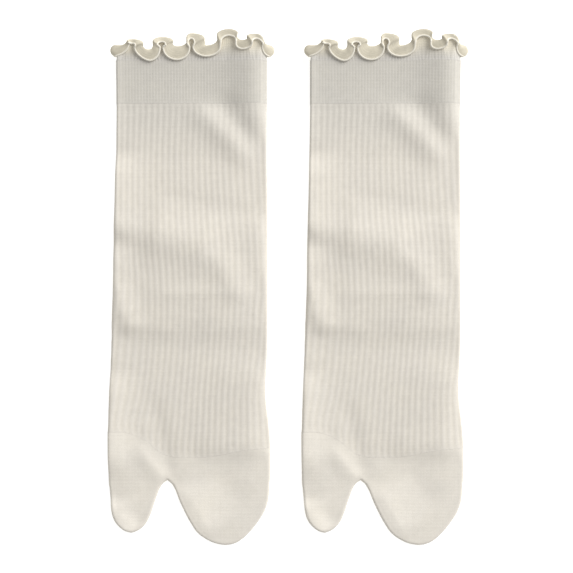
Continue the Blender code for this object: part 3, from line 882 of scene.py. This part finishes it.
UNDER_LOBES = (
    Lobe(28.4, 7.4, 2.6, 6.4, 6.6, 5.6, 1),
    Lobe(12, 6.8, 2.2, 7.2, 7, 5.2, 1),
    Lobe(-7.6, 7.2, 2.8, 7.4, 7.8, 5.6, 1),
    Lobe(-26.2, 6.2, 2, 7, 6.4, 4.8, 1),
)
FRILL_WALL = 0.8
FRILL_LENGTH = 17.0  # over which its courses are counted
PINCH = 0.6  # how much of the wall on the inside of the fold gives way to the tight bend
SEAM = 0.06  # from the cuff to the strip
FRILL_COLUMNS = 40  # from a lobe to the next peak
FRILL_ROWS = 22
FRILL_TURN = 7.5  # how far in from the side folds the lobes roll straight up
LOBE_SHARE, PEAK_SHARE = 0.44, 0.72  # of the way to the peak, where the lobe ends and where the peak begins
NOTCH_DEPTH = 0.45  # of the crest's rise to the peak, at the lobe's end
SHOULDER = 0.45  # of the rise that is left, where the peak begins
CREST_SHARE = 0.56  # of the strip's length, where it is folded over
LOBE_RISE, PEAK_EASE = 0.9, 0.3  # how straight up the strip starts at a lobe, and how much less at a peak
FIRST_LEAN = 0.4  # how much it starts towards its crest
ARM_PLACE = 1.6  # above 1 the strip stands highest nearer to the peaks
SOFTENING = 4
RIB_FADE = 0.4  # of the strip's length
RIB_SAMPLES = 20  # to a rib, round the mouth

# How far the strip stands out, at a lobe and at a peak, and how much more between them.
Roll = namedtuple("Roll", "lobe peak arm")
FRONT_CREST, FRONT_EDGE = Roll(1.3, 1.5, 1.0), Roll(1.1, 2.1, 1.5)
UNDER_CREST, UNDER_EDGE = Roll(1.5, 0.5, 0.5), Roll(1.2, 0.9, 0.9)
SIDE_CREST, SIDE_EDGE = Roll(3.6, 1.5, 0.5), Roll(2.2, 2.1, 1.8)
SIDE_LEAN, SIDE_RISE = 2.0, 1.1  # at the side folds it leans in and rises more before it rolls out


def frill_foot(across, face):
    """Where the strip stands, in the middle of the cuff's wall, and the way that its lobes roll."""
    from_fold = min(across - SIDES[0].left, SIDES[0].right - across) - WALL / 2
    centre = FOLD_RADIUS - WALL / 2
    level = 1.0 - min(max(from_fold, 0.0) / centre, 1.0)
    half = centre * math.sqrt(max(1.0 - level * level, 0.0))
    height = layer_height(face, across, 0.0, from_fold + WALL / 2, half)
    turn = math.pi / 2 * (1.0 - float(smooth(from_fold / FRILL_TURN)))
    return float(height), math.copysign(math.sin(turn), across), face * math.cos(turn)


def meander(share, start, widest, way, width, top, roundness=1.0):
    """A line from a lobe's middle at (0, start) out to widest, back in to the peak's side and up to the
    peak's middle at (way, top): a quarter of an ellipse, a soft step and another quarter."""
    side = start + (top - start) * NOTCH_DEPTH if widest is None else widest.down
    out = way - width if widest is None else widest.across
    if share <= LOBE_SHARE:
        angle = math.pi / 2 * share / LOBE_SHARE
        return out * math.sin(angle), start + (side - start) * (1 - math.cos(angle)) ** roundness
    shoulder = side + (top - side) * SHOULDER
    if share <= PEAK_SHARE:
        step = (share - LOBE_SHARE) / (PEAK_SHARE - LOBE_SHARE)
        return out + (way - width - out) * float(smooth(step)), side + (shoulder - side) * step
    angle = math.pi / 2 * (1 - share) / (1 - PEAK_SHARE)
    return way - width * math.sin(angle), shoulder + (top - shoulder) * math.cos(angle)


def frill_strip(lobe, peak, share, face):
    """The strip from the mouth to its free edge, at a share of the way from a lobe to the next peak. It is
    one curve, pulled towards a first and a second point so that it passes through the crest."""
    way = abs(peak.across - lobe.across)
    heading = math.copysign(1.0, peak.across - lobe.across)
    if heading > 0:
        bulge, roundness, width = Point(lobe.right, lobe.bulge), lobe.right_round, peak.left
    else:
        bulge, roundness, width = Point(lobe.left, lobe.bulge), lobe.left_round, peak.right
    crest = meander(share, lobe.fold, None, way, width, peak.top)
    edge = meander(share, lobe.edge, bulge, way, peak.slit, peak.top - peak.curl, roundness)
    across = lobe.across + heading * share * way
    foot, sideways, upwards = frill_foot(across, face)
    facing = upwards * face
    level_rolls = (FRONT_CREST, FRONT_EDGE) if face > 0 else (UNDER_CREST, UNDER_EDGE)
    ease = float(smooth(share))
    arm = math.sin(math.pi * share**ARM_PLACE) ** 2
    stand = lobe.stand + (peak.stand - lobe.stand) * ease
    out = []
    for level, side in zip(level_rolls, (SIDE_CREST, SIDE_EDGE)):
        roll = Roll(*(facing * a + (1 - facing) * b for a, b in zip(level, side)))
        out.append(stand * (roll.lobe + (roll.peak - roll.lobe) * ease + roll.arm * arm))
    crest = np.array((lobe.across + heading * crest[0], crest[1], out[0]))
    edge = np.array((lobe.across + heading * edge[0], edge[1], out[1]))
    mouth = np.array((across, SEAM, 0.0))
    rise = LOBE_RISE - PEAK_EASE * ease + SIDE_RISE * (1 - facing)
    first = mouth + (FIRST_LEAN * (crest[0] - mouth[0]), rise * crest[1], -SIDE_LEAN * (1 - facing))
    t = CREST_SHARE
    second = crest - (1 - t) ** 3 * mouth - 3 * t * (1 - t) ** 2 * first - t**3 * edge
    second = second / (3 * t * t * (1 - t))
    t = np.linspace(0.0, 1.0, FRILL_ROWS)[:, None]
    strip = (1 - t) ** 3 * mouth + 3 * t * (1 - t) ** 2 * first + 3 * t * t * (1 - t) * second + t**3 * edge
    return np.column_stack((strip[:, 0] + strip[:, 2] * sideways, -strip[:, 1], foot + strip[:, 2] * upwards))


def frill_points():
    """Round the mouth from lobe to lobe: the left fold, the front, the right fold and beneath."""
    strips = []
    for face, lobes, peaks in (
        (1.0, (LEFT_LOBE, *FRONT_LOBES, RIGHT_LOBE), FRONT_PEAKS),
        (-1.0, (RIGHT_LOBE, *UNDER_LOBES, LEFT_LOBE), UNDER_PEAKS),
    ):
        for lobe, peak, following in zip(lobes, peaks, lobes[1:]):
            for share in np.arange(FRILL_COLUMNS) / FRILL_COLUMNS:
                strips.append(frill_strip(lobe, peak, share, face))
            for share in 1.0 - np.arange(FRILL_COLUMNS) / FRILL_COLUMNS:
                strips.append(frill_strip(following, peak, share, face))
    strips.append(strips[0])
    return np.stack(strips, axis=1)


def softened(points, passes):
    """A closed grid of cloth with its tightest bends rounded. Its row at the mouth stays where it is."""
    ring = points[:, :-1].copy()
    for _ in range(passes):
        around = (np.roll(ring, 1, axis=1) + np.roll(ring, -1, axis=1)) / 2
        ring[1:] = (ring[1:] + around[1:]) / 2
        ring[1:-1] = (ring[1:-1] * 2 + ring[:-2] + ring[2:]) / 4
    return np.concatenate((ring, ring[:, :1]), axis=1)


def ways_out(points):
    """The way out of a closed grid of cloth at each of its points."""
    along = np.roll(points[:, :-1], -1, axis=1) - np.roll(points[:, :-1], 1, axis=1)
    along = np.concatenate((along, along[:, :1]), axis=1)
    down = np.gradient(points, axis=0)
    way = np.cross(along, down)
    return way / np.linalg.norm(way, axis=-1, keepdims=True)


def ribs_at_foot(points):
    """The cuff's ribs, counted round the mouth, at each column of the strip."""
    ribs = np.linspace(FIRST_RIB, FIRST_RIB + RIB_COUNT, RIB_SAMPLES * RIB_COUNT, endpoint=False)
    shares = rib_shares(ribs[None, :], np.zeros((1, 1)))
    face, across, _, _, _, _ = round_the_tube(shares, np.zeros((1, 1)), 0.0)
    front = points[0, :, 2] > MOUTH_LIFT + FOLD_RADIUS
    counted = np.empty(points.shape[1])
    for columns, there in ((front, face[0] > 0), (~front, face[0] < 0)):
        order = np.argsort(across[0][there])
        places, counts = across[0][there][order], ribs[there][order]
        counted[columns] = np.interp(points[0, columns, 0], places, counts)
    return counted


frill_middle = softened(frill_points(), SOFTENING)
frill_way = ways_out(frill_middle)
frill_inside = 1.0 - PINCH * np.sin(np.linspace(0.0, math.pi, FRILL_ROWS))[:, None, None]
frill_faces = [frill_middle + frill_way * FRILL_WALL / 2 * part for part in (-frill_inside, 1.0)]
rib_fade = 1.0 - smooth(np.linspace(0.0, 1.0, FRILL_ROWS) / RIB_FADE)[:, None]
frill_groove = groove_of(ribs_at_foot(frill_middle)[None, :], FINE_RIBS) * rib_fade
frill_faces[0] = frill_faces[0] + frill_way * (FINE_RIB_DEPTH * frill_groove)[..., None]
frill_wales = np.linspace(0.0, RIB_COUNT * WALES_PER_RIB, frill_middle.shape[1])[None, :]
frill_courses = np.linspace(0.0, FRILL_LENGTH / COURSE, FRILL_ROWS)[:, None]
frill_cloth = Cloth()
frill_cloth.add(frill_faces[0], frill_wales, frill_courses, (0.0, 0.52, 1.0, 1.0), frill_groove)
# The inner face shows purl all over, and counts as groove: it is painted darker and warmer, partly as the
# purl side's own tone and partly as shade.
frill_cloth.add(frill_faces[1], frill_wales, frill_courses, (0.0, 0.03, 1.0, 0.5), 1.0)
for row, part in ((0, (0.0, 0.0, 1.0, 0.01)), (-1, (0.0, 0.015, 1.0, 0.025))):
    rim = np.stack((frill_faces[0][row], frill_faces[1][row]))
    frill_cloth.add(rim, frill_wales, frill_courses[:2], part)

# The overlocked edge: soft thread that is wrapped round the stretched free edge, as close as on a cord.
BEAD_RADIUS, BEAD_STEPS = 0.62, 10
edge_line = frill_middle[-1]
edge_along = np.roll(edge_line[:-1], -1, axis=0) - np.roll(edge_line[:-1], 1, axis=0)
edge_along /= np.linalg.norm(edge_along, axis=1)[:, None]
edge_out = frill_way[-1][:-1]
edge_out = edge_out - (edge_out * edge_along).sum(axis=1)[:, None] * edge_along
edge_out /= np.linalg.norm(edge_out, axis=1)[:, None]
edge_up = np.cross(edge_along, edge_out)
edge_rings = []
for angle in np.linspace(0.0, 2 * math.pi, BEAD_STEPS + 1):
    ring = edge_line[:-1] + BEAD_RADIUS * (math.cos(angle) * edge_out + math.sin(angle) * edge_up)
    edge_rings.append(np.vstack((ring, ring[:1])))
edge_lengths = np.concatenate(((0.0,), np.cumsum(np.linalg.norm(np.diff(edge_line, axis=0), axis=1))))
edge_turns = np.linspace(0.0, 1.0, BEAD_STEPS + 1)
edge_cloth = Cloth()
edge_cloth.add(np.stack(edge_rings), edge_lengths[None, :], edge_turns[:, None], (0.0, 0.0, 1.0, 1.0))

# Yellower than the leg: the frill's cotton, with painted warm shade of its folds worked into it.
FRILL_COLOUR = (0.78, 0.725, 0.60)
FRILL_ROOT = Root(CUFF_COLOUR, 0.0, 8.0)
# groove_shade here darkens the whole inner face of the strip: partly the purl side's tone, partly painted
# shade.
frill_knit = knit_material("Frill knit", FRILL_COLOUR, shade=0.08, groove_shade=0.17, root=FRILL_ROOT)
THREAD_SHADE_AND_TOP_COLOURS = (0.73, 0.685, 0.58, 1.0), (0.85, 0.81, 0.72, 1.0)  # between its turns, darker and warmer as painted shade, and on them
THREAD_RELIEF = 0.1
TURNS = 1.25  # of the thread to a millimetre of the edge


def overlock_material():
    """Soft thread, wrapped at a slant round the edge, with painted shade between its turns."""
    material, shader, place = new_material(
        "Overlock thread", Roughness=0.85, Specular_IOR_Level=0.25, Sheen_Weight=0.2
    )
    _, along, round_it = stitch_places(place)
    wrap = ((along * TURNS + round_it) * (2 * math.pi)).math("SINE") * 0.5 + 0.5
    fluff = noise(place, FLUFF, 3.0)
    link((wrap * 0.5 + fluff * 0.5).mix(*THREAD_SHADE_AND_TOP_COLOURS), shader, "Base Color")
    raise_surface(shader, wrap * 0.8 + fluff * 0.4, THREAD_RELIEF, 0.6)
    return material


overlock_thread = overlock_material()
for side in SOCKS:
    frill = frill_cloth.sew(side, "_frill_strip", frill_knit)
    edge = edge_cloth.sew(side, "_overlocked_edge", overlock_thread)
    for piece in (frill, edge):
        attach(piece, "root")
        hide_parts(side + "_frill")
